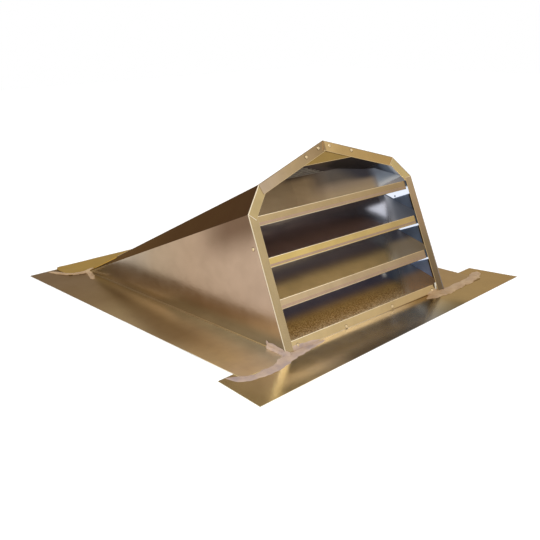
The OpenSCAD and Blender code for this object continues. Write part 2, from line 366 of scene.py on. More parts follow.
def wall_paint(mat, x, y, z, along):
    """Painted light and reflection: rosy at the front and brown at the rear, with painted shade under the
    front of the eave fold and along the foot, and a pale painted reflection low on the wall.
    """
    tone = mat.ramp(along, WALL_TONES)
    below_fold = y * -WALL_SLOPE + (WALL_SLOPE * HOOD_L + BASE_Z) - z
    shade = mat.fade(below_fold, 0.015, 0.08) * mat.band(y, 0.04, 0.09) * mat.fade(y, 0.14, 0.26)
    tone = mat.mix(shade * 0.85, tone, (94, 68, 48))
    # Painted pale reflection low on the wall, towards the middle of its length
    low = mat.band(z, 0.01, 0.02) * mat.fade(z, 0.02, 0.06)
    low = low * mat.band(y, 0.24, 0.33) * mat.fade(y, 0.46, 0.54)
    tone = mat.mix(low * 0.5, tone, (232, 214, 190))
    # Painted shade along the foot of the wall, over its front part
    foot = mat.fade(z + mat.band(y, 0.28, 0.4) * 0.022, 0.014, 0.042) * mat.fade(y, 0.45, 0.6)
    return mat.mix(foot * 0.85, tone, (124, 115, 99))


def apron_paint(mat, x, y, z, along):
    """Painted reflection: pale where the face is mirrored, darker towards the front edge where the louvres'
    dark gaps are mirrored; bronze on the right.
    """
    tone = mat.ramp(x / (4 * HALF_W) + 0.5, [
        (0.1, 198, 190, 152), (0.2, 236, 226, 196), (0.3, 252, 246, 232),
        (0.56, 250, 248, 244), (0.64, 186, 172, 146), (0.7, 148, 122, 82),
        (0.95, 144, 112, 66)])
    # Painted reflection of the louvres' dark gaps, towards the front edge
    middle = mat.band(x, -0.25, -0.13) * mat.fade(x, 0.17, 0.22)
    return mat.mix(mat.fade(y, -0.08, -0.02) * middle * 0.68, tone, BLACK)


def bright_patch(mat, x, s, b):
    """Painted daylight on the right-hand side of the hood, a triangle round the top of the wall."""
    lower = mat.band(s + b * 0.45, 0.256, 0.263) * mat.fade(s - b * 0.65, 0.219, 0.227)
    return lower * mat.fade(b - s * 0.17, 0.02, 0.032) * mat.band(x, 0.18, 0.2)


def inner_paint(mat, x, s, b):
    """Painted light and shade: lit near the face and brown-black behind, with a painted blue reflection on
    the right-hand wall and eave.
    """
    wall = mat.ramp(s * 4, [
        (0.1, 150, 164, 200), (0.3, 118, 138, 170), (0.6, 98, 114, 140),
        (0.9, 130, 142, 160), (1.0, 140, 150, 166)])
    eave = mat.ramp(b * 10, [
        (0.24, 214, 220, 230), (0.3, 130, 142, 160), (0.4, 110, 122, 140),
        (0.5, 60, 64, 76)])
    side = mat.mix(mat.band(s, 0.243, 0.247), wall, eave)
    dusk = mat.ramp(x * 4, [(0.12, 198, 174, 146), (0.22, 110, 92, 76), (0.34, 40, 33, 32)])
    lit = mat.mix(mat.band(x - b * 0.07, 0.18, 0.186), dusk, side)
    deep = mat.mix(mat.band(b, 0.13, 0.18), (86, 74, 72), (176, 152, 112))
    return mat.mix(mat.band(b, 0.08, 0.095), lit, deep)


def inside_glow(mat, colour, bright, daylight):
    """Painted glow: a little of the surface's own colour, and painted daylight where it is bright."""
    return mat.mix(bright, mat.mix(0.93, colour, BLACK), daylight)


def inner_finish():
    """Inside of the hood: matt sheet, with painted light and glow for the light that comes in through the
    face.
    """
    mat = Material("inner_sheet", (120, 104, 80))
    vector, x, s, b = face_place(mat)
    colour = smudges(mat, vector, inner_paint(mat, x, s, b), 0.1)
    glow = inside_glow(mat, colour, bright_patch(mat, x, s, b), (226, 234, 250))
    return mat.set(colour, 0.5, 0.25, glow, Normal=sheet_bump(mat, vector))


def strip_finish(name, tint, paint, roughness=0.22, dirt=0.12):
    """Satin gold strip, with a tone that paint gives for a place."""
    mat = Material(name, tint)
    vector, x, _, z = mat.place()
    across = x / (2 * HALF_W) + 0.5 + mat.noise(vector, 14, 2.0) * 0.16 - 0.08
    colour = smudges(mat, vector, paint(mat, x, across, z), dirt)
    grain = mat.noise(mat.stretch(vector, (30, 30, 400)), 8, 2.0)
    return mat.set(colour, roughness, 1.0, Normal=mat.bump(grain, 0.08, 0.3 * MM))


def strip_metal(name, left, right, roughness=0.22, dirt=0.12):
    """Strip that changes its tone only across the face."""
    def paint(mat, x, across, z):
        return mat.ramp(across, [(0.0, *left), (1.0, *right)])
    return strip_finish(name, left, paint, roughness, dirt)


def post_paint(mat, x, across, z):
    """Painted light and shade: pale on the left; on the right painted browner towards the foot."""
    up = z * (1 / WALL_HI.z)
    left = mat.ramp(up, [(0.0, 174, 152, 114), (1.0, 188, 165, 122)])
    right = mat.ramp(up, [
        (0.05, 106, 86, 60), (0.45, 128, 108, 78), (0.65, 152, 124, 92),
        (1.0, 172, 146, 110)])
    return mat.mix(mat.band(x, -0.1, 0.1), left, right)


def roof_rail_paint(mat, x, across, z):
    """Painted reflection: darker on the left of the apex and bright gold on its right."""
    return mat.ramp(x / (2 * HALF_W) + 0.5, [
        (0.09, 188, 166, 140), (0.3, 179, 153, 114), (0.48, 152, 126, 90),
        (0.5, 150, 124, 88), (0.505, 200, 168, 114), (0.6, 184, 152, 98),
        (0.9, 174, 140, 84)])


def bend_highlight_paint(mat, x, across, z):
    """Painted highlight on bends and hems: bright on the left and browner on the right."""
    return mat.mix(mat.band(x, -0.05, 0.1), (236, 220, 190), (156, 128, 90))


def top_glow(mat, x, b, dull_shaded_end):
    """Painted khaki light, as glow, on the right-hand half of the top blade, bluish beyond the eave's mirror
    image.
    """
    mirrored = x * 0.743 - b * 0.784 + 0.0925
    khaki = mat.ramp(b * 10, [
        (0.1, 140, 120, 92), (0.3, 122, 105, 86), (0.5, 78, 70, 62),
        (0.8, 78, 72, 66)])
    dim = mat.mix(mat.band(b, 0.028, 0.046) * mat.band(x, 0.07, 0.14), khaki, (46, 45, 50))
    warm = mat.mix(mat.band(mirrored, 0.03, 0.085), BLACK, dim)
    cool = mat.mix(mat.band(b, 0.012, 0.032), (112, 114, 120), (88, 93, 102))
    return mat.mix(mat.band(mirrored, 0.166, 0.19), warm, cool)


def rear_glow(rear, end, rear_end):
    """Painted soft light, as glow, on the rear of a blade, with other painted tones at its rough, shaded
    right-hand end.
    """
    def glow(mat, x, b, dull_shaded_end):
        main = mat.mix(mat.band(b, 0.03, 0.06), BLACK, rear)
        right = mat.mix(mat.band(b, 0.034, 0.054), end, rear_end)
        return mat.mix(dull_shaded_end, main, right)
    return glow


NO_END = 1.0


def plate_finish(name, tone, glow, start=NO_END, speckle=0.0):
    """Glossy top of a blade, rougher and painted dark as shade on its right from x = start, with rusty
    speckles at its front.
    """
    mat = Material(name, tone)
    vector, x, _, depth = face_place(mat)
    dull_shaded_end = mat.band(x - depth * 1.18, start - 0.016, start + 0.036)
    # Painted shade: the right-hand end's colour is darkened nearly to black
    colour = smudges(mat, vector, mat.mix(dull_shaded_end * 0.92, tone, BLACK), 0.12)
    rough = dull_shaded_end * 0.34 + 0.14
    if speckle:
        front = mat.fade(depth, 0.018, 0.05)
        grains = mat.band(mat.noise(vector, 420, 2.0, 0.6), 0.42, 0.6) * front
        colour = mat.mix(grains * speckle, colour, (126, 84, 38))
        rough = (front * 0.12 + 0.14).larger(rough)
    return mat.set(colour, rough, 1.0, glow(mat, x, depth, dull_shaded_end), Normal=sheet_bump(mat, vector, 0.15))


def under_finish(name, tone, rear, strength):
    """Matt underside of a louvre blade, painted lit towards its front with a glow of its own colour, and
    painted with a rear shade behind.
    """
    mat = Material(name, tone)
    vector, _, _, depth = face_place(mat)
    back = mat.band(depth, 0.036, 0.066)
    colour = smudges(mat, vector, mat.mix(back, tone, rear), 0.08)
    return mat.set(colour, 0.7, glow=mat.mix(back, colour, BLACK), strength=strength)


# Heights up the face of the painted bright slivers of the lower ears, and the top ear's rivet as (height,
# depth)
SLIVER_TOPS = (0.1466, 0.073)
EAR_RIVET = (0.2145, 0.054)


def ear_finish():
    """Bluish ears in the inside's painted tones, with painted daylight as glow where it falls on the
    right-hand ones.
    """
    mat = Material("ear_metal", (150, 160, 176))
    _, x, s, b = face_place(mat)
    strip = mat.fade(s, 0.224, 0.229) * mat.band(s - b * 0.781, 0.162, 0.164)
    for top in SLIVER_TOPS:
        sliver = mat.band(s, top - 6 * MM, top - 4 * MM) * mat.fade(s, top - MM, top + MM)
        strip = strip.larger(sliver)
    off_rivet = mat.band((s - EAR_RIVET[0]).size() + (b - EAR_RIVET[1]).size(), 1.5 * MM, 3.5 * MM)
    bright = bright_patch(mat, x, s, b).larger(strip * off_rivet * mat.band(x, 0.18, 0.2))
    colour = inner_paint(mat, x, s, b)
    return mat.set(colour, 0.4, 0.25, inside_glow(mat, colour, bright, (232, 238, 250)))


def mesh_finish():
    """Matt wire, pale, with a painted glow of its own colour for the light that comes from inside."""
    mat = Material("mesh_wire", (120, 110, 90))
    colour = smudges(mat, mat.place()[0], (172, 162, 146), 0.3)
    return mat.set(colour, 0.45, 0.5, colour, 0.25)


def sealant_finish():
    """Brushed sealant: greyish pink at the front left, tan at the right and the rear."""
    mat = Material("sealant", (196, 174, 152))
    vector, x, y, _ = mat.place()
    tone = mat.noise(vector, 45, 4.0)
    pink = mat.ramp(tone, [(0.3, 168, 147, 140), (0.5, 188, 163, 146), (0.7, 202, 176, 154)])
    tan = mat.ramp(tone, [(0.3, 156, 124, 88), (0.5, 172, 140, 102), (0.7, 186, 156, 116)])
    brush = mat.noise(mat.stretch(vector, (1, 4, 4)), 90, 4.0, 0.6)
    tanned = mat.band(x, -0.05, 0.15).larger(mat.band(y, 0.3, 0.5))
    return mat.set(mat.mix(tanned, pink, tan), 0.55, Normal=mat.bump(brush, 0.5, MM))


WALL = sheet_material("wall_bronze", (172, 146, 120), wall_paint)
FLANGE = sheet_material("flange_bronze", (150, 124, 84), flange_paint, 0.3, (0.86, 0.76, 0.64))
# Painted shade: the eave panel, part of the same sheet, is darker and has a dimmer edge tint
EAVE = sheet_material("eave_bronze", (84, 60, 40), along_hood(
    (0.1, 76, 55, 39), (0.5, 82, 60, 38), (0.78, 98, 72, 41),
    (0.9, 78, 57, 27)), edge=(0.53, 0.49, 0.47))
# Painted light on the roof panel, darker towards the rear
ROOF = sheet_material("roof_bronze", (150, 122, 84), along_hood(
    (0.1, 160, 134, 100), (1.0, 134, 108, 68)))
# Painted shade along the fold at the foot of the walls
FOOT = sheet_material("fold_bronze", (150, 124, 86), along_hood(
    (0.05, 180, 154, 110), (0.4, 142, 116, 80), (0.8, 116, 94, 62)), 0.35)
# Painted highlight along the rear of the fold between eave and roof
CREASE_HIGHLIGHT = sheet_material("painted_crease_highlight", (206, 172, 104), along_hood(
    (0.76, 140, 114, 74), (0.86, 206, 166, 92)), 0.4, (0.62, 0.48, 0.26))
INNER = inner_finish()
APRON = sheet_material("apron_bronze", (150, 122, 80), apron_paint, edge=(0.86, 0.76, 0.6))
PAN = sheet_material("pan_bronze", (150, 125, 76), along_hood(
    (0.85, 150, 122, 72), (1.05, 148, 118, 66)), 0.3, (0.84, 0.72, 0.5))
POST = strip_finish("post_gold", (182, 159, 120), post_paint, 0.2)
RAIL = strip_metal("rail_gold", (193, 170, 122), (190, 165, 112))
ROOF_RAIL = strip_finish("roof_rail_gold", (180, 152, 106), roof_rail_paint)
GUSSET = strip_metal("gusset_gold", (150, 122, 72), (158, 128, 68))
# Painted highlight along the strips' outer bends and the lips' hems
BEND_HIGHLIGHT = strip_finish("painted_bend_highlight", (238, 222, 190), bend_highlight_paint, 0.3, 0.05)
# Painted highlight along the strips' hems and the gusset's turned-back edge
HEM_HIGHLIGHT = strip_metal("painted_hem_highlight", (208, 184, 140), (196, 170, 124), 0.3, 0.08)
# Painted highlight on the strips' cut ends where they lap
CUT_HIGHLIGHT = strip_metal("painted_cut_highlight", (240, 228, 208), (214, 190, 150), 0.3, 0.05)
# Painted shade on the backs of the strips and lips
BACK_SHADE = strip_metal("painted_back_shade", (120, 98, 66), (110, 92, 64), 0.45, 0.2)
# Painted highlight along the lips' noses
NOSE_HIGHLIGHT = strip_metal("painted_nose_highlight", (250, 234, 200), (190, 160, 110), 0.3, 0.05)
RIVET = strip_metal("rivet_gold", (222, 200, 160), (220, 194, 150), 0.4, 0.1)
SHADOW = strip_metal("rivet_ring", (80, 62, 40), (70, 54, 34), 0.5, 0.05)
TAB = strip_metal("tab_metal", (232, 228, 214), (232, 228, 214), 0.4, 0.3)
# Painted reflection in a band low on the upper lips' fronts
LIP_REFLECTION = strip_metal("painted_lip_reflection", (190, 160, 136), (150, 124, 98))
# Painted shade towards the rear of the blades' undersides
REAR_TONE = (128, 120, 140)


def numbered(name, finish, settings):
    """A finish for each blade from the top, with a number after its name."""
    return [finish("%s_%d" % (name, k + 1), *values) for k, values in enumerate(settings)]


# Painted light: the lips' tones differ from blade to blade and darken to the right
LIPS = numbered("lip_gold", strip_metal, [
    ((192, 166, 122), (150, 124, 88), 0.3), ((220, 190, 118), (172, 144, 92), 0.3),
    ((202, 176, 138), (150, 125, 94), 0.3), ((208, 182, 134), (180, 150, 102), 0.3)])
# Painted light: each plate's glow, and the shade at its right-hand end, differ from blade to blade
PLATES = numbered("plate_metal", plate_finish, [
    ((222, 216, 200), top_glow),
    ((222, 216, 214), rear_glow((33, 29, 31), (64, 67, 74), (58, 63, 72)), 0.118),
    ((222, 214, 198), rear_glow((36, 34, 37), (98, 85, 67), (44, 43, 49)), 0.09),
    ((222, 210, 184), rear_glow((20, 27, 42), (88, 68, 49), (46, 51, 62)), 0.1, 0.7)])
# Painted light and shade: the undersides' tones and glows differ from blade to blade
UNDERS = numbered("under_metal", under_finish, [
    ((147, 116, 102), (120, 96, 90), 0.02), ((240, 214, 160), REAR_TONE, 0.16),
    ((240, 208, 140), REAR_TONE, 0.16), ((170, 150, 110), REAR_TONE, 0.0)])
EAR = ear_finish()
WIRE = mesh_finish()
SEALANT = sealant_finish()


# ---- Mesh making ----

WELD_GAP = 0.02 * MM
SHARP_ANGLE = 32


def weld(mesh):
    """Joins points that meet and drops the faces left without an area."""
    bm = bmesh.new()
    bm.from_mesh(mesh)
    bmesh.ops.remove_doubles(bm, verts=bm.verts, dist=WELD_GAP)
    bmesh.ops.dissolve_degenerate(bm, edges=bm.edges, dist=WELD_GAP)
    bm.to_mesh(mesh)
    bm.free()


def thicken(obj, thickness, inner_mark):
    """Gives a surface its thickness; inner_mark is added to the material indices of its other side."""
    solid = obj.modifiers.new("sheet", "SOLIDIFY")
    solid.thickness = thickness
    solid.offset = -1
    solid.material_offset = inner_mark
    solid.material_offset_rim = 0
    graph = bpy.context.evaluated_depsgraph_get()
    settled = bpy.data.meshes.new_from_object(obj.evaluated_get(graph))
    obj.modifiers.clear()
    obj.data = settled
    settled.name = obj.name


class Shape:
    """Grids of points gathered into one mesh."""

    def __init__(self):
        self.points = []
        self.faces = []
        self.marks = []

    def grid(self, rows, mark=0, closed=False):
        """Rows of points; mark is a material index, or a function of a face's row and column."""
        start, width = len(self.points), len(rows[0])
        for row in rows:
            self.points.extend(row)
        across = width if closed else width - 1
        for r in range(len(rows) - 1):
            for c in range(across):
                a = start + r * width + c
                b = start + r * width + (c + 1) % width
                self.faces.append((a, b, b + width, a + width))
                self.marks.append(mark(r, c) if callable(mark) else mark)

    def make(self, name, materials, thickness=0.0, inner=()):
        """The piece, thickened away from the side that its faces show; inner is for its other side."""
        mesh = bpy.data.meshes.new(name)
        mesh.from_pydata([tuple(p) for p in self.points], [], self.faces)
        for face, mark in zip(mesh.polygons, self.marks):
            face.material_index = mark
        for mat in (*materials, *inner):
            mesh.materials.append(mat)
        weld(mesh)
        obj = add_object(name, mesh)
        if thickness:
            thicken(obj, thickness, len(materials) if inner else 0)
        obj.data.shade_smooth()
        obj.data.set_sharp_from_angle(angle=math.radians(SHARP_ANGLE))
        return obj


NO_LENGTH = 1e-7
NO_TURN = 0.01
BEND_SHARE = 0.45


def arc(start, knee, end, r, n):
    """Points of a bend of radius r that rounds the corner at knee, between start and end."""
    u, v = (knee - start), (end - knee)
    lu, lv = u.length, v.length
    unbent = [knee.copy() for _ in range(n + 1)]
    if min(lu, lv) < NO_LENGTH:
        return unbent
    u, v = u / lu, v / lv
    turn = u.angle(v)
    if turn < NO_TURN:
        return unbent
    reach = min(r * math.tan(turn / 2), BEND_SHARE * lu, BEND_SHARE * lv)
    r = reach / math.tan(turn / 2)
    side = (v - u * u.dot(v)).normalized()
    first = knee - u * reach
    angles = [turn * k / n for k in range(n + 1)]
    return [first + r * (math.sin(t) * u + (1 - math.cos(t)) * side) for t in angles]


def wave(p, amount, scale):
    """Smooth rise of up to amount at a point, for sheet that doesn't lie quite flat."""
    return max(0.0, amount * noise.noise(p * scale))


def mirrored(points):
    """The same points on the other side of the vent."""
    return [Vector((-p.x, p.y, p.z)) for p in points]


def finish_piece(obj, slot_name, *nodes):
    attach(obj, "root")
    if nodes:
        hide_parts(*nodes)


# ---- Hood and side flanges, one bent sheet ----

FOLD_R = 2.2 * MM
FOOT_R = 1.5 * MM
ARC_STEPS = 6
HOOD_ROWS = 66
WALL_COLUMNS = 12
EAVE_COLUMNS = 4
ROOF_COLUMNS = 10
FLANGE_COLUMNS = 10
FLANGE_FRONT_ROWS = 5
FLANGE_REAR_ROWS = 11
FLANGE_WAVE = (0.5 * MM, 14)
HOOD_FRONT = 0.9 * MM
HOOD_REAR = 0.997
# Largest shares of a wall's height for the foot's radius and the wall's start
FOOT_SHARE = 0.3
START_SHARE = 0.8

HOOD_SKINS = [FLANGE, WALL, EAVE, ROOF, FOOT, CREASE_HIGHLIGHT]
ON_FLANGE, ON_WALL, ON_EAVE, ON_ROOF, ON_FOOT, ON_CREASE = range(len(HOOD_SKINS))

# The fold between eave and roof has a painted gold highlight on the rear rows, over these columns
CREASE_ROW = 0.76 * HOOD_ROWS
CREASE_FROM = 2 * ARC_STEPS + WALL_COLUMNS + EAVE_COLUMNS - 2
CREASE_TO = CREASE_FROM + ARC_STEPS


def half_section(u):
    """Outer points of the hood at the share u of its length, from the left wall's foot to the ridge."""
    a, b, c = (lerp(p, REAR_CORNER, u) for p in CORNERS[:APEX])
    d = lerp(CORNERS[APEX], REAR_MIDDLE, u)
    v = lerp(CORNERS[2], REAR_MIDDLE, u)
    rise = b.z - BASE_Z
    foot_r = min(FOOT_R, FOOT_SHARE * rise)
    start = a + Vector((0, 0, min(SHEET + foot_r, START_SHARE * rise)))
    fold_b = arc(start, b, c, FOLD_R, ARC_STEPS)
    fold_c = arc(b, c, v if (v - c).length > MM else d, FOLD_R, ARC_STEPS)
    crease = arc(c, v, d, FOLD_R, ARC_STEPS)
    ridge = arc(v, d, Vector((-v.x, v.y, v.z)), FOLD_R, 2 * ARC_STEPS)[:ARC_STEPS + 1]
    foot = [Vector((a.x - foot_r * (1 - math.sin(t)), a.y, DECK_Z + foot_r * (1 - math.cos(t))))
            for t in spread(0.0, math.pi / 2, ARC_STEPS + 1)]
    points = foot[:-1] + spread(foot[-1], fold_b[0], WALL_COLUMNS)
    points += fold_b[1:-1] + spread(fold_b[-1], fold_c[0], EAVE_COLUMNS + 1)
    points += fold_c[1:-1] + spread(fold_c[-1], crease[0], ROOF_COLUMNS) + crease[1:-1]
    points += spread(crease[-1], ridge[0], ROOF_COLUMNS) + ridge[1:]
    marks = [ON_FOOT] * ARC_STEPS + [ON_WALL] * WALL_COLUMNS + [ON_EAVE] * (ARC_STEPS + EAVE_COLUMNS)
    marks += [ON_ROOF] * (len(points) - 1 - len(marks))
    return points, marks


def side_flanges(shape, feet):
    """Flat flanges out from the feet of the walls, running on past the hood at both ends."""
    front = Vector((feet[0].x, FLANGE_LO.y, DECK_Z))
    back = Vector((-HALF_W, FLANGE_HI.y, DECK_Z))
    run = spread(front, feet[0], FLANGE_FRONT_ROWS + 1)[:-1] + feet
    run += spread(feet[-1], back, FLANGE_REAR_ROWS + 1)[1:]
    rows = []
    for p in run:
        row = spread(Vector((FLANGE_LO.x, p.y, DECK_Z)), p, FLANGE_COLUMNS)
        rows.append([q + Vector((0, 0, wave(q, *FLANGE_WAVE))) for q in row[:-1]] + [row[-1]])
    shape.grid(rows, ON_FLANGE)
    shape.grid([mirrored(row)[::-1] for row in rows], ON_FLANGE)


def hood():
    shape = Shape()
    rows = []
    for u in spread(HOOD_FRONT / (HOOD_L * COS), HOOD_REAR, HOOD_ROWS):
        points, marks = half_section(u)
        rows.append(points + mirrored(points[-2::-1]))
    marks += marks[::-1]

    def skin(r, c):
        on_crease = CREASE_FROM <= min(c, len(marks) - 1 - c) <= CREASE_TO
        return ON_CREASE if r > CREASE_ROW and on_crease else marks[c]

    shape.grid(rows, skin)
    side_flanges(shape, [row[0] for row in rows])
    obj = shape.make("hood_sheet", HOOD_SKINS, SHEET, [INNER] * len(HOOD_SKINS))
    finish_piece(obj, "sheet", "left_side_panel", "right_side_panel",
                 "left_side_flange", "right_side_flange", "left_eave_panel", "right_eave_panel",
                 "left_roof_panel", "right_roof_panel", "left_rear_panel", "right_rear_panel")


hood()

# ---- Frame strips ----

STRIP_W = 20 * MM
STRIP_R = 1.6 * MM
STRIP_SHEET = 0.6 * MM
RETURN_W = 19 * MM
HEM_R = 0.7 * MM
HEM_STEPS = 8
HEM_TUCK = 5 * MM
LAP_RISE = 0.65 * MM
LAP_RUN = 26 * MM
CUT_W = 1.0 * MM
OUT_OF_FACE = Vector((0, -COS, SIN))
ON_FRONT, ON_BEND, ON_HEM, ON_BACK, ON_CUT = range(5)


def strip_profile():
    """The strip's outer side as (distance in from the hood's outside, depth behind the face, material)."""
    knee, edge = SHEET + STRIP_R, STRIP_W - HEM_R
    inside = [(SHEET, RETURN_W, ON_BACK), (SHEET, RETURN_W / 2, ON_BACK)]
    bend = [(knee - STRIP_R * math.sin(t), STRIP_R * (1 - math.cos(t)), ON_BEND)
            for t in spread(math.pi / 2, 0.0, ARC_STEPS + 1)]
    front = [(d, 0.0, ON_FRONT) for d in spread(knee, edge, 6)[:-1]]
    hem = [(edge + HEM_R * math.sin(t), HEM_R * (1 - math.cos(t)), ON_HEM)
           for t in spread(0.0, math.pi, HEM_STEPS + 1)]
    return inside + bend[:-1] + front + hem + [(edge - HEM_TUCK, 2 * HEM_R, ON_BACK)]


def half_turn(i):
    """Tangent of half the angle that the face's outline turns through at corner i."""
    if i == APEX:
        rise = OUTLINE[APEX] - OUTLINE[APEX - 1]
        return rise.y / rise.x
    if i == 0:
        return 0.0
    n1, n2 = normals_at(i)
    return math.tan(n1.angle(n2) / 2)


def strip_row(i, side, lapped, d, b, columns):
    """Points along a strip at one place of its profile; its lapping end stands a little proud."""
    p, q = (on_fold(n, d, b, i == APEX - 1) for n in (i, i + 1))
    along = (q - p).normalized()
    if i == 0:
        p += along * (SHEET / COS)
    if side == -1:
        p, q, along = q, p, -along
    start = -d * half_turn(lapped)
    places = [start, start + CUT_W] + spread(start + CUT_W, (q - p).length, columns)[1:]
    row = []
    for t in places:
        rise = LAP_RISE * max(0.0, 1 - max(t, 0.0) / LAP_RUN) ** 1.5 if lapped > 0 else 0.0
        row.append(p + along * t + OUT_OF_FACE * rise)
    return row if side == 1 else mirrored(row)


def strip(name, i, materials, columns):
    """Frame strips along edge i of the face, each over the one before it, clockwise round the face."""
    for side, label in ((1, "left"), (-1, "right")):
        lapped = i if side == 1 else i + 1
        shape = Shape()
        rows = [strip_row(i, side, lapped, d, b, columns) for d, b, _ in strip_profile()]
        marks = [mark for _, _, mark in strip_profile()]
        last = len(rows) - 2
        shape.grid(rows[::-1], lambda r, c: ON_CUT if c == 0 and lapped > 0 else marks[last - r])
        piece = label + "_" + name
        finish_piece(shape.make(piece, materials, STRIP_SHEET), "trim", piece)


strip("post", 0, [POST, BEND_HIGHLIGHT, HEM_HIGHLIGHT, BACK_SHADE, CUT_HIGHLIGHT], 40)
strip("eave_rail", 1, [RAIL, BEND_HIGHLIGHT, HEM_HIGHLIGHT, BACK_SHADE, CUT_HIGHLIGHT], 16)
strip("roof_rail", 2, [ROOF_RAIL, ROOF_RAIL, HEM_HIGHLIGHT, BACK_SHADE, ROOF_RAIL], 40)

GUSSET_ROWS = 8
GUSSET_COLUMNS = 24
GUSSET_SHEET = 0.4 * MM
GUSSET_GAP = MM
GUSSET_TIP = 0.2 * MM


def gusset():
    """Plate behind the roof rails, with its lower edge turned back."""
    lo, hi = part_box("apex_gusset")
    low = (lo.z - BASE_Z + SHEET * SIN) / COS
    high = (hi.z - BASE_Z + SHEET * SIN) / COS
    levels = [(s, 0.0) for s in spread(high, low + HEM_R, GUSSET_ROWS)]
    levels += [(low + HEM_R * (1 - math.sin(t)), HEM_R * (1 - math.cos(t)))
               for t in spread(0.0, math.pi, ARC_STEPS + 1)[1:]]
    rows = []
    for s, b in levels:
        w = max(GUSSET_TIP, hi.x * min(1.0, (high - s) / (high - low)))
        rows.append([on_face(x, s, SHEET + GUSSET_GAP + b) for x in spread(w, -w, GUSSET_COLUMNS)])
    shape = Shape()
    shape.grid(rows, lambda r, c: int(r >= GUSSET_ROWS - 1))
    finish_piece(shape.make("gusset_plate", [GUSSET, HEM_HIGHLIGHT], GUSSET_SHEET), "trim", "apex_gusset")


gusset()

# ---- Louvre blades, numbered from the top ----

LOUVRES = 4
LIP_B = 3 * MM
LIP_H = 17 * MM
LIP_GAP = 3 * MM
LIP_REACH = 1.5 * MM
LIP_COLUMNS = 30
# Places on a lip's front as shares of its height; a rosier band of painted reflection lies from the first to
# the third
LIP_SHARES = (0.12, 0.32, 0.36, 0.8)
NOSE_R = 1.4 * MM
BLADE_W = 101 * MM
BLADE_SHEET = 0.6 * MM
BLADE_RISE = math.radians(38)
BLADE_RUN = Vector((math.cos(BLADE_RISE), math.sin(BLADE_RISE)))
PLATE_REAR_GAP = 1.5 * MM
PLATE_SIDE_GAP = 2.2 * SHEET
PLATE_ROWS = 22
PLATE_COLUMNS = 40
EAR_H = 15 * MM
EAR_INSET = 3 * MM
EAR_SIDE_GAP = 3 * SHEET
EAR_TOP_GAP = 2.5 * SHEET
EAR_PLATE_GAP = 2 * MM
EAR_ROWS = 16
EAR_COLUMNS = 6
# How far the ears of the upper blades reach below their lips
EAR_DROPS = {1: 10 * MM, 2: 5 * MM, 3: 4.5 * MM}
ON_LIP, ON_BAND, ON_NOSE, ON_LIP_HEM, ON_PLATE, ON_LIP_BACK, ON_EAR = range(7)


def blade_top(k):
    """Height up the face of blade k's upper edge, from its own box."""
    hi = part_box("louvre_blade_%d" % k)[1]
    end = BLADE_RUN * BLADE_W
    return ((hi.z - BASE_Z) + (LIP_B + end.x) * SIN) / COS - end.y


def lip_rows(k, top, foot):
    """The lip's hem, front and nose, from behind its foot to the start of the plate."""
    plate_ahead = Vector((LIP_B, top)) + BLADE_RUN * 20 * MM
    nose = arc(Vector((LIP_B, foot, 0)), Vector((LIP_B, top, 0)), plate_ahead.to_3d(), NOSE_R, ARC_STEPS)
    hem = [Vector((LIP_B + HEM_R * (1 - math.cos(t)), foot + HEM_R * (1 - math.sin(t))))
           for t in spread(math.pi, 0.0, ARC_STEPS + 1)]
    hem_back = [Vector((LIP_B + 2 * HEM_R, foot + HEM_TUCK))] if k < LOUVRES else []
    front = [Vector((LIP_B, lerp(foot, top, share))) for share in LIP_SHARES]
    profile = hem_back + hem + front + [p.to_2d() for p in nose]
    marks = [ON_LIP_BACK] * len(hem_back) + [ON_LIP_HEM] * (len(hem) - 1)
    marks += [ON_LIP] + [ON_BAND] * 2 + [ON_LIP] * 2 + [ON_NOSE] * ARC_STEPS
    half = inside_half_width(top, 0.0, 0.0) - STRIP_W - LIP_GAP
    xs = spread(-half - LIP_GAP - LIP_REACH, half, LIP_COLUMNS)
    return [[on_face(x, p.y, p.x) for x in xs] for p in profile], marks, profile[-1]


def plate_rows(start):
    """The plate, rising to the rear from start and as wide as the hood inside."""
    rows = []
    for t in spread(0.0, BLADE_W - PLATE_REAR_GAP, PLATE_ROWS):
        p = start + BLADE_RUN * t
        w = inside_half_width(p.y, p.x, PLATE_SIDE_GAP)
        rows.append([on_face(x, p.y, p.x) for x in spread(-w, w, PLATE_COLUMNS)])
    return rows


def ear_rows(k, top, foot):
    """The right-hand ear of a blade, turned down along the wall."""
    rows = []
    for t in spread(EAR_INSET, BLADE_W - EAR_INSET, EAR_ROWS):
        at = Vector((LIP_B, top)) + BLADE_RUN * t
        low = at.y - EAR_H
        if k in EAR_DROPS:
            next_plate = blade_top(k + 1) + (at.x - LIP_B) * math.tan(BLADE_RISE) + EAR_PLATE_GAP
            low = min(low, max(foot - EAR_DROPS[k], next_plate))
        high = min(at.y - SHEET, OUTLINE[1].y - EAR_TOP_GAP)
        rows.append([on_face(inside_half_width(s, at.x, EAR_SIDE_GAP), s, at.x)
                     for s in spread(high, low, EAR_COLUMNS)])
    return rows


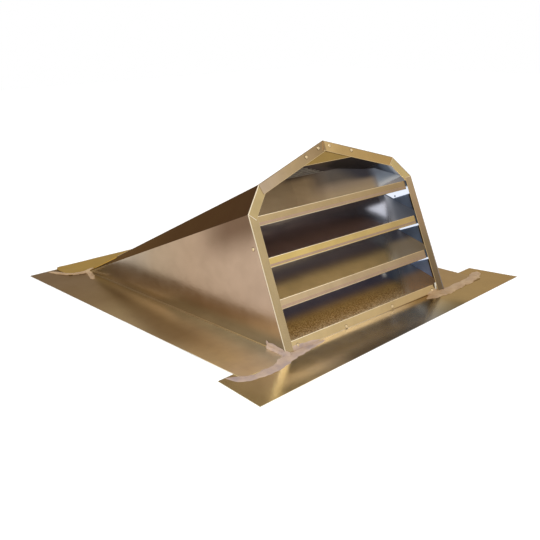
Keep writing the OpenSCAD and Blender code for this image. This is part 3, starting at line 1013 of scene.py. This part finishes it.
def blade(k):
    top = blade_top(k)
    foot = max(top - LIP_H, (LIP_B + SHEET) * math.tan(LEAN))
    rows, marks, start = lip_rows(k, top, foot)
    ears = ear_rows(k, top, foot)
    shape = Shape()
    shape.grid(rows, lambda r, c: marks[r])
    shape.grid(plate_rows(start), ON_PLATE)
    shape.grid(ears, ON_EAR)
    shape.grid([mirrored(row)[::-1] for row in ears], ON_EAR)
    band = LIP_REFLECTION if k < LOUVRES else LIPS[k - 1]
    skins = [LIPS[k - 1], band, NOSE_HIGHLIGHT, BEND_HIGHLIGHT, PLATES[k - 1], BACK_SHADE, EAR]
    undersides = [UNDERS[k - 1]] * (len(skins) - 1) + [EAR]
    obj = shape.make("louvre_%d" % k, skins, BLADE_SHEET, undersides)
    top_ears = ["left_top_ear", "right_top_ear"] if k == 1 else []
    finish_piece(obj, "blade", "louvre_blade_%d" % k, *top_ears)


for number in range(1, LOUVRES + 1):
    blade(number)

# ---- Insect screen of straight wires ----

SCREEN_B = 104 * MM
MESH_PITCH = 3.2 * MM
WIRE_R = 0.3 * MM


def wire(shape, a, b):
    """A square wire from a to b, in the plane of the screen."""
    v = (b - a).normalized().cross(OUT_OF_FACE).normalized()
    ring = [OUT_OF_FACE * WIRE_R * m + v * WIRE_R * n for m, n in ((1, 1), (1, -1), (-1, -1), (-1, 1))]
    shape.grid([[a + r for r in ring], [b + r for r in ring]], closed=True)


def insect_screen():
    """Wires across the hood, and wires up it behind them."""
    shape = Shape()
    lowest = SCREEN_B * SIN / COS
    behind = SCREEN_B + 2 * WIRE_R
    levels = []
    s = lowest + MESH_PITCH / 2
    while s < OUTLINE[APEX].y:
        w = inside_half_width(s, SCREEN_B, SHEET)
        if w < 2 * MESH_PITCH:
            break
        levels.append((s, w))
        wire(shape, on_face(-w, s, SCREEN_B), on_face(w, s, SCREEN_B))
        s += MESH_PITCH
    count = int(2 * HALF_W / MESH_PITCH)
    for k in range(-count // 2, count // 2 + 1):
        x = k * MESH_PITCH
        reach = [s for s, w in levels if w > abs(x)]
        if reach:
            wire(shape, on_face(x, lowest, behind), on_face(x, max(reach), behind))
    finish_piece(shape.make("wire_screen", [WIRE]), "mesh", "insect_screen")


insect_screen()

# ---- Back pan ----

PAN_LO, PAN_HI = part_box("back_pan")
LAP_LO, LAP_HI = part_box("left_pan_lap")
PAN_HALF = PAN_HI.x + 6 * MM
PAN_CORNER_R = 18 * MM
PAN_LIFT = 1.5 * MM
PAN_LIFT_RUN = 45 * MM
PAN_WAVE = (0.8 * MM, 20)
PAN_ROWS = 14
PAN_COLUMNS = 92
KNEE_R = 2.5 * MM
NOTCH = 3 * MM
LAP_ROWS = 6
LAP_COLUMNS = 36
SHORTEST_LAP = 0.5 * MM
LAP_HALF = -LAP_LO.x
REAR_ANGLE = math.atan(REAR_SLOPE)
UP_THE_ROOF = Vector((0, -math.cos(REAR_ANGLE), math.sin(REAR_ANGLE)))
LAP_L = (LAP_HI.z - DECK_Z) / math.sin(REAR_ANGLE) - SHEET


def pan_rows(front_y):
    """The pan's flat part, with rounded rear corners; the left one curls up a little."""
    rows = []
    for t in spread(0.0, 1.0, PAN_ROWS):
        row = []
        for x in spread(-PAN_HALF, PAN_HALF, PAN_COLUMNS):
            past_corner = max(0.0, PAN_CORNER_R - (PAN_HALF - abs(x)))
            round_off = PAN_CORNER_R - math.sqrt(max(0.0, PAN_CORNER_R ** 2 - past_corner ** 2))
            y = lerp(PAN_HI.y, front_y, t) - (1 - t) * round_off
            near = max(0.0, 1 - math.hypot(x + PAN_HALF, y - PAN_HI.y) / PAN_LIFT_RUN)
            lift = PAN_LIFT * near ** 2 + wave(Vector((x, y, 0)), *PAN_WAVE)
            row.append(Vector((x, y, PAN_HI.z + lift)))
        rows.append(row)
    return rows[::-1]


def lap_rows(half, bend):
    """Half of the pan's front, bent up over the foot of the roof and cut back at the valley."""
    xs = spread(half * LAP_HALF, half * NOTCH / (1 + LAP_L), LAP_COLUMNS)
    rows = [[Vector((x, p.y, p.z)) for x in xs] for p in bend]
    valley_run = HOOD_L - CORNERS[2].y
    for t in spread(0.0, 1.0, LAP_ROWS)[1:]:
        row = []
        for x in xs:
            allowed = (abs(x) - NOTCH) / abs(CORNERS[2].x) * valley_run / math.cos(REAR_ANGLE)
            reach = max(SHORTEST_LAP, min(LAP_L, allowed))
            row.append(bend[-1].lerp(bend[-1] + UP_THE_ROOF * reach, t) + Vector((x, 0, 0)))
        rows.append(row)
    return [row[::half] for row in rows[::-1]]


def back_pan():
    knee = Vector((0, PAN_LO.y, PAN_HI.z))
    rear = Vector((0, PAN_HI.y, PAN_HI.z))
    bend = arc(rear, knee, knee + UP_THE_ROOF * LAP_L, KNEE_R, ARC_STEPS)
    shape = Shape()
    shape.grid(pan_rows(bend[0].y))
    for half in (-1, 1):
        shape.grid(lap_rows(half, bend))
    finish_piece(shape.make("bent_pan", [PAN], SHEET), "sheet", "back_pan", "left_pan_lap", "right_pan_lap")


back_pan()

# ---- Carried-over pieces ----

for node, finish in (("front_apron", APRON), ("bottom_rail", RAIL), ("rail_foot_flange", RAIL)):
    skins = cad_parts[node].data.materials
    skins.clear()
    skins.append(finish)

# ---- Sealant strokes ----

UP = Vector((0, 0, 1))
STEPS_BETWEEN = 14
STROKE_COLUMNS = 12
RAGGED = 0.28
LUMPY = 0.5
STROKE_DEPTH_MM = 0.4
STROKE_LOWEST = 0.3 * MM


def smooth_path(stations):
    """Smooth path through stations of (centre, half width, height)."""
    last = len(stations) - 2
    path = []
    for k in range(last + 1):
        p0, p1, p2, p3 = (stations[max(0, min(last + 1, j))][0] for j in range(k - 1, k + 3))
        for n in range(STEPS_BETWEEN + (k == last)):
            t = n / STEPS_BETWEEN
            p = 0.5 * ((2 * p1) + (p2 - p0) * t + (2 * p0 - 5 * p1 + 4 * p2 - p3) * t * t
                       + (3 * p1 - p0 - 3 * p2 + p3) * t ** 3)
            w, h = (lerp(stations[k][i], stations[k + 1][i], t) for i in (1, 2))
            path.append((p, w, h))
    return path


def stroke_rows(path, seed, up):
    """The stroke's upper side: lumpy, with ragged edges and rounded ends."""
    last = len(path) - 1
    rows = []
    for k, (p, w, h) in enumerate(path):
        ahead = path[min(k + 1, last)][0] - path[max(k - 1, 0)][0]
        across = ahead.cross(up).normalized()
        end = min(1.0, 1.6 * math.sqrt(min(k, last - k) / len(path) * 4 + 0.02))
        row = []
        for v in spread(-1, 1, STROKE_COLUMNS + 1):
            side = Vector((math.copysign(7, v), seed, 0))
            edge = 1 + RAGGED * noise.noise(p * 90 + side) + RAGGED * 0.25 * noise.noise(p * 300 + side)
            lump = 1 + LUMPY * noise.noise((p + across * w * v) * 220 + Vector((seed, 3, 0)))
            rise = h * (1 - abs(v) ** 2.6) ** 0.6 * lump * end
            row.append(p + across * (w * v * edge * end) + up * rise)
        rows.append(row)
    return rows


def stroke(shape, stations, seed, up=UP):
    """A brushed stroke through stations of (centre, half width, height), closed all round."""
    rows = stroke_rows(smooth_path(stations), seed, up)
    under = [[q - up * STROKE_DEPTH_MM * MM - up * up.dot(q - row[0]) for q in row] for row in rows]
    for row in rows + under:
        for q in row:
            q.z = max(q.z, STROKE_LOWEST)
    shape.grid(rows)
    shape.grid([row[::-1] for row in under])
    shape.grid([[u[0], r[0]] for r, u in zip(rows, under)])
    shape.grid([[r[-1], u[-1]] for r, u in zip(rows, under)])
    shape.grid([rows[0][::-1], under[0][::-1]])
    shape.grid([rows[-1], under[-1]])


def spots(*rows, side=1):
    """Stations in millimetres as (x, y, z, half width, height), mirrored for side = -1."""
    return [(Vector((side * x, y, z)) * MM, w * MM, h * MM) for x, y, z, w, h in rows]


def rail_spots(*rows):
    """Stations on the bottom rail in millimetres as (x, height up the face, half width, height)."""
    return [(on_face(x * MM, s * MM, LIP_B), w * MM, h * MM) for x, s, w, h in rows]


def seal(label, *strokes):
    """Sealant of one corner, from strokes of (stations, seed) or (stations, seed, upward direction)."""
    shape = Shape()
    for values in strokes:
        stroke(shape, *values)
    finish_piece(shape.make(label + "_strokes", [SEALANT]), "sealant", label + "_sealant")


def front_left_seal():
    """A long stroke over the flange's lap, two up the corner and one along the rail."""
    lap = spots((-356, 5, 0.7, 3, 1.0), (-343, -13, 0.7, 10, 1.6), (-320, -25, 0.7, 8, 1.8),
                (-290, -25, 0.7, 10, 2.0), (-266, -23, 0.7, 10, 2.2), (-246, -15, 0.9, 12, 2.4),
                (-226, -10, 0.7, 12, 2.6), (-200, -8, 0.7, 9, 2.2), (-172, -5, 0.7, 7, 1.8),
                (-148, -4, 0.7, 4, 1.2), (-134, -3, 0.7, 2, 0.6))
    corner_foot = spots((-231, -12, 1.6, 8, 1.6), (-232, 4, 1.8, 9, 1.6), (-231, 22, 2.2, 8, 1.5),
                        (-230, 38, 3.0, 6, 1.2), (-229, 46, 5.0, 3, 0.8))
    wall_foot = spots((-229, 2, 4, 5, 1.0), (-229, 16, 5, 5, 1.2), (-229, 30, 8, 4.5, 1.2),
                      (-229, 42, 7, 4, 1.0), (-229, 47, 13, 2, 0.5))
    rail = rail_spots((-222, 4, 5, 0.8), (-208, 3, 5, 1.2), (-192, 3, 5.5, 1.2), (-176, 2, 5, 1.2),
                      (-156, 1, 4, 0.9), (-138, 0, 2, 0.5))
    seal("front_left", (lap, 1.0), (corner_foot, 2.0, Vector((-0.6, 0, 0.8))),
         (wall_foot, 2.5, Vector((-1, 0, 0))), (rail, 7.0, OUT_OF_FACE))


def front_right_seal():
    """A long stroke over the flange's lap and a short one on the rail."""
    lap = spots((156, -9, 0.7, 3, 0.8), (176, -8, 0.7, 11, 1.6), (200, -8, 0.9, 14, 2.2),
                (222, -10, 0.7, 14, 2.4), (240, -9, 0.9, 13, 2.2), (274, -6, 0.9, 11, 2.0),
                (306, -6, 0.9, 11, 2.0), (332, -2, 0.9, 10, 1.8), (350, 5, 0.8, 11, 1.6),
                (366, 11, 0.7, 9, 1.2), (375, 15, 0.7, 3, 0.6))
    rail = rail_spots((176, 1, 3, 0.6), (190, 3, 5, 1.0), (206, 4, 6, 1.2), (219, 4, 5, 0.8))
    seal("front_right", (lap, 3.0), (rail, 4.0, OUT_OF_FACE))


def rear_seal(side, label, seed):
    """A curved stroke over the pan's lap, and one along the foot of the wall."""
    lap = spots((-295, 718, 1.4, 4, 1.0), (-285, 692, 1.4, 6, 1.8), (-275, 670, 1.6, 6, 2.0),
                (-259, 656, 1.8, 7, 2.2), (-242, 650, 2.0, 7, 2.4), (-227, 650, 3.2, 9, 2.6),
                (-212, 656, 5.0, 6, 1.6), side=side)
    wall_foot = spots((-228, 652, 2.6, 8, 2.2), (-234, 634, 1.8, 7, 2.4), (-241, 614, 1.4, 6, 1.8),
                      (-250, 594, 1.4, 4, 1.0), side=side)
    seal(label, (lap, seed), (wall_foot, seed + 3))


front_left_seal()
front_right_seal()
rear_seal(1, "rear_left", 5.0)
rear_seal(-1, "rear_right", 6.0)

# ---- Rivets ----

# Radius and height of a rivet's head in millimetres, from its hollow centre outwards
RIVET_PROFILE = [(0.02, 1.0), (0.9, 0.95), (1.1, 1.35), (1.8, 1.3), (2.6, 1.0), (3.1, 0.45), (3.2, 0.1),
                 (3.9, 0.05)]
RIVET_SIDES = 18
# Rivets in millimetres as (x, height up the face), and the heights of those in the posts' returns
RAIL_RIVETS = ((-193.7, 7.2), (-69.7, 5.1), (64.1, 7.2), (193.7, 7.2))
ROOF_RIVETS = ((-53.6, 322.1), (-17.1, 334.4), (13.1, 335.4), (68.9, 319.5))
POST_RIVETS = (10, 186)
ROOF_RIVET_B = -0.1 * MM
POST_RIVET_B = 9.5 * MM


def rivet(shape, at, out):
    """A pop rivet's domed head with its hollow centre."""
    side = out.orthogonal().normalized()
    other = out.cross(side)
    rows = [[at + out * h * MM + (side * math.cos(a) + other * math.sin(a)) * r * MM
             for a in spread(0.0, 2 * math.pi, RIVET_SIDES + 1)[:-1]] for r, h in RIVET_PROFILE]
    shape.grid(rows, lambda r, c: int(r == len(rows) - 2), closed=True)


def rivets():
    shape = Shape()
    for places, b in ((RAIL_RIVETS, LIP_B), (ROOF_RIVETS, ROOF_RIVET_B)):
        for x, s in places:
            rivet(shape, on_face(x * MM, s * MM, b), OUT_OF_FACE)
    for side in (-1, 1):
        for s in POST_RIVETS:
            w = inside_half_width(s * MM, POST_RIVET_B, 0.0)
            rivet(shape, on_face(side * w, s * MM, POST_RIVET_B), Vector((side, 0, 0)))
    finish_piece(shape.make("rivet_heads", [RIVET, SHADOW]), "trim")


rivets()

TAB_X = 203 * MM
TAB_W = 7 * MM
TAB_S = 6 * MM
TAB_H = 14 * MM
TAB_B = 2 * MM
TAB_LEAN = 2 * MM


def rail_end_tab():
    """Small tab bent up in front of the rail's right-hand end."""
    shape = Shape()
    shape.grid([[on_face(x, s, TAB_B - lean * TAB_LEAN) for x in spread(TAB_X, TAB_X + TAB_W, 6)]
                for s, lean in zip(spread(TAB_S, TAB_S + TAB_H, 8), spread(0.0, 1.0, 8))])
    finish_piece(shape.make("rail_end_tab", [TAB], SHEET), "trim")


rail_end_tab()

# ---- Stage and light ----

FLOOR_HALF = 6
FLOOR_GLOW = 0.35
SKY_LIGHT = 0.7


def stage():
    """Pale floor, which glows where it is seen or mirrored but not under the hood."""
    mat = Material("pale_floor", WHITE)
    _, x, y, _ = mat.place()
    beside = mat.band(x.size(), HALF_W - 10 * MM, HALF_W)
    beyond = mat.band((y - HOOD_L / 2).size(), HOOD_L / 2 - 20 * MM, HOOD_L / 2)
    glow = mat.mix(mat.seen() * beside.larger(beyond), BLACK, WHITE)
    mat.set((0.82, 0.82, 0.82), 0.9, glow=glow, strength=FLOOR_GLOW)
    mesh = bpy.data.meshes.new("floor")
    corners = [(x * FLOOR_HALF, y * FLOOR_HALF, 0) for x, y in ((-1, -1), (1, -1), (1, 1), (-1, 1))]
    mesh.from_pydata(corners, [], [(0, 1, 2, 3)])
    mesh.materials.append(mat.data)
    add_object("floor", mesh)


def sky():
    """White where it is seen or mirrored, and a little softer as light."""
    world = bpy.data.worlds.new("studio")
    bpy.context.scene.world = world
    world.use_nodes = True
    tree = Tree(world.node_tree)
    soft, white = (tree.node("ShaderNodeBackground", inputs={"Color": (1, 1, 1), "Strength": strength})[0]
                   for strength in (SKY_LIGHT, 1.0))
    blend = tree.node("ShaderNodeMixShader", inputs={0: tree.seen(), 1: soft, 2: white})[0]
    tree.feed(world.node_tree.nodes["World Output"].inputs["Surface"], blend)


def sun(name, energy, place, target, width):
    """A sun that shines from place to target, as wide as an angle in degrees."""
    data = bpy.data.lights.new(name, "SUN")
    data.energy = energy
    data.angle = math.radians(width)
    obj = add_object(name, data)
    obj.location = place
    obj.rotation_euler = (Vector(target) - Vector(place)).to_track_quat("-Z", "Y").to_euler()


stage()
sky()
sun("sun", 1.1, (-1.5, -1.0, 2.5), (0, 0.3, 0), 20)
sun("glint", 0.07, (1.24, -0.34, 1.54), (0, 0, 0), 10)
bpy.context.scene.view_settings.view_transform = "Standard"
